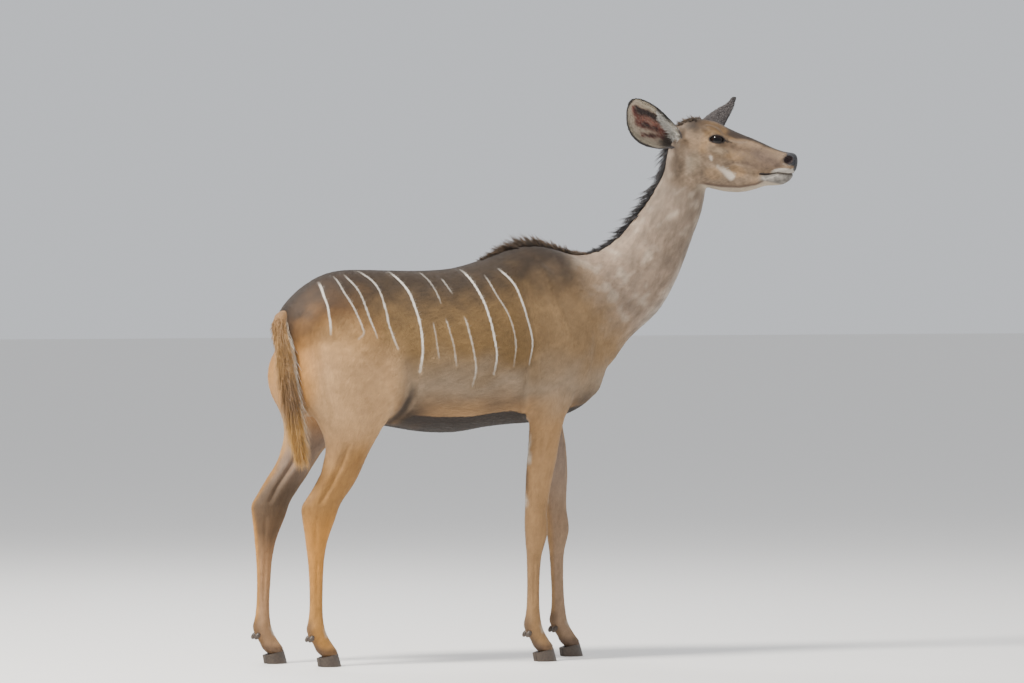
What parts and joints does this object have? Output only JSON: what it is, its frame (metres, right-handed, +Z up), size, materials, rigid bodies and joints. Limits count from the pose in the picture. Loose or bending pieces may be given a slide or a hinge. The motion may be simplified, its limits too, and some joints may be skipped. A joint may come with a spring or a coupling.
{
  "type": "greater kudu",
  "caption": "Life-size greater kudu cow standing with head raised and turned, a museum-style model on four cloven hooves.",
  "frame": {"origin": "middle of the model's box, on the floor under the trunk", "axes": "+X from tail towards head along the trunk, +Y to the animal's left, +Z up"},
  "size_m": [1.6158, 0.4842, 1.6919],
  "materials": {
    "coat": "short grey-brown coat with thin pale stripes, dark mane",
    "leg_coat": "short tawny coat",
    "ear_skin": "thin skin with short hair and pale fringes",
    "eye": "wet dark brown eye",
    "horn": "worn black hoof horn"
  },
  "bodies": {
    "root": {"torso": "coat", "neck": "coat", "head": "coat", "tail": "coat", "foreleg_right_upper": "leg_coat", "foreleg_right_lower": "leg_coat", "foreleg_left_upper": "leg_coat", "foreleg_left_lower": "leg_coat", "hindleg_right_upper": "leg_coat", "hindleg_right_lower": "leg_coat", "hindleg_left_upper": "leg_coat", "hindleg_left_lower": "leg_coat", "ear_right": "ear_skin", "ear_left": "ear_skin", "eye_right": "eye", "eye_left": "eye", "hoof_foreleg_right_inner": "horn", "hoof_foreleg_right_outer": "horn", "hoof_foreleg_left_inner": "horn", "hoof_foreleg_left_outer": "horn", "hoof_hindleg_right_inner": "horn", "hoof_hindleg_right_outer": "horn", "hoof_hindleg_left_inner": "horn", "hoof_hindleg_left_outer": "horn", "dewclaw_foreleg_right_inner": "horn", "dewclaw_foreleg_right_outer": "horn", "dewclaw_foreleg_left_inner": "horn", "dewclaw_foreleg_left_outer": "horn", "dewclaw_hindleg_right_inner": "horn", "dewclaw_hindleg_right_outer": "horn", "dewclaw_hindleg_left_inner": "horn", "dewclaw_hindleg_left_outer": "horn"}
  },
  "joints": []
}
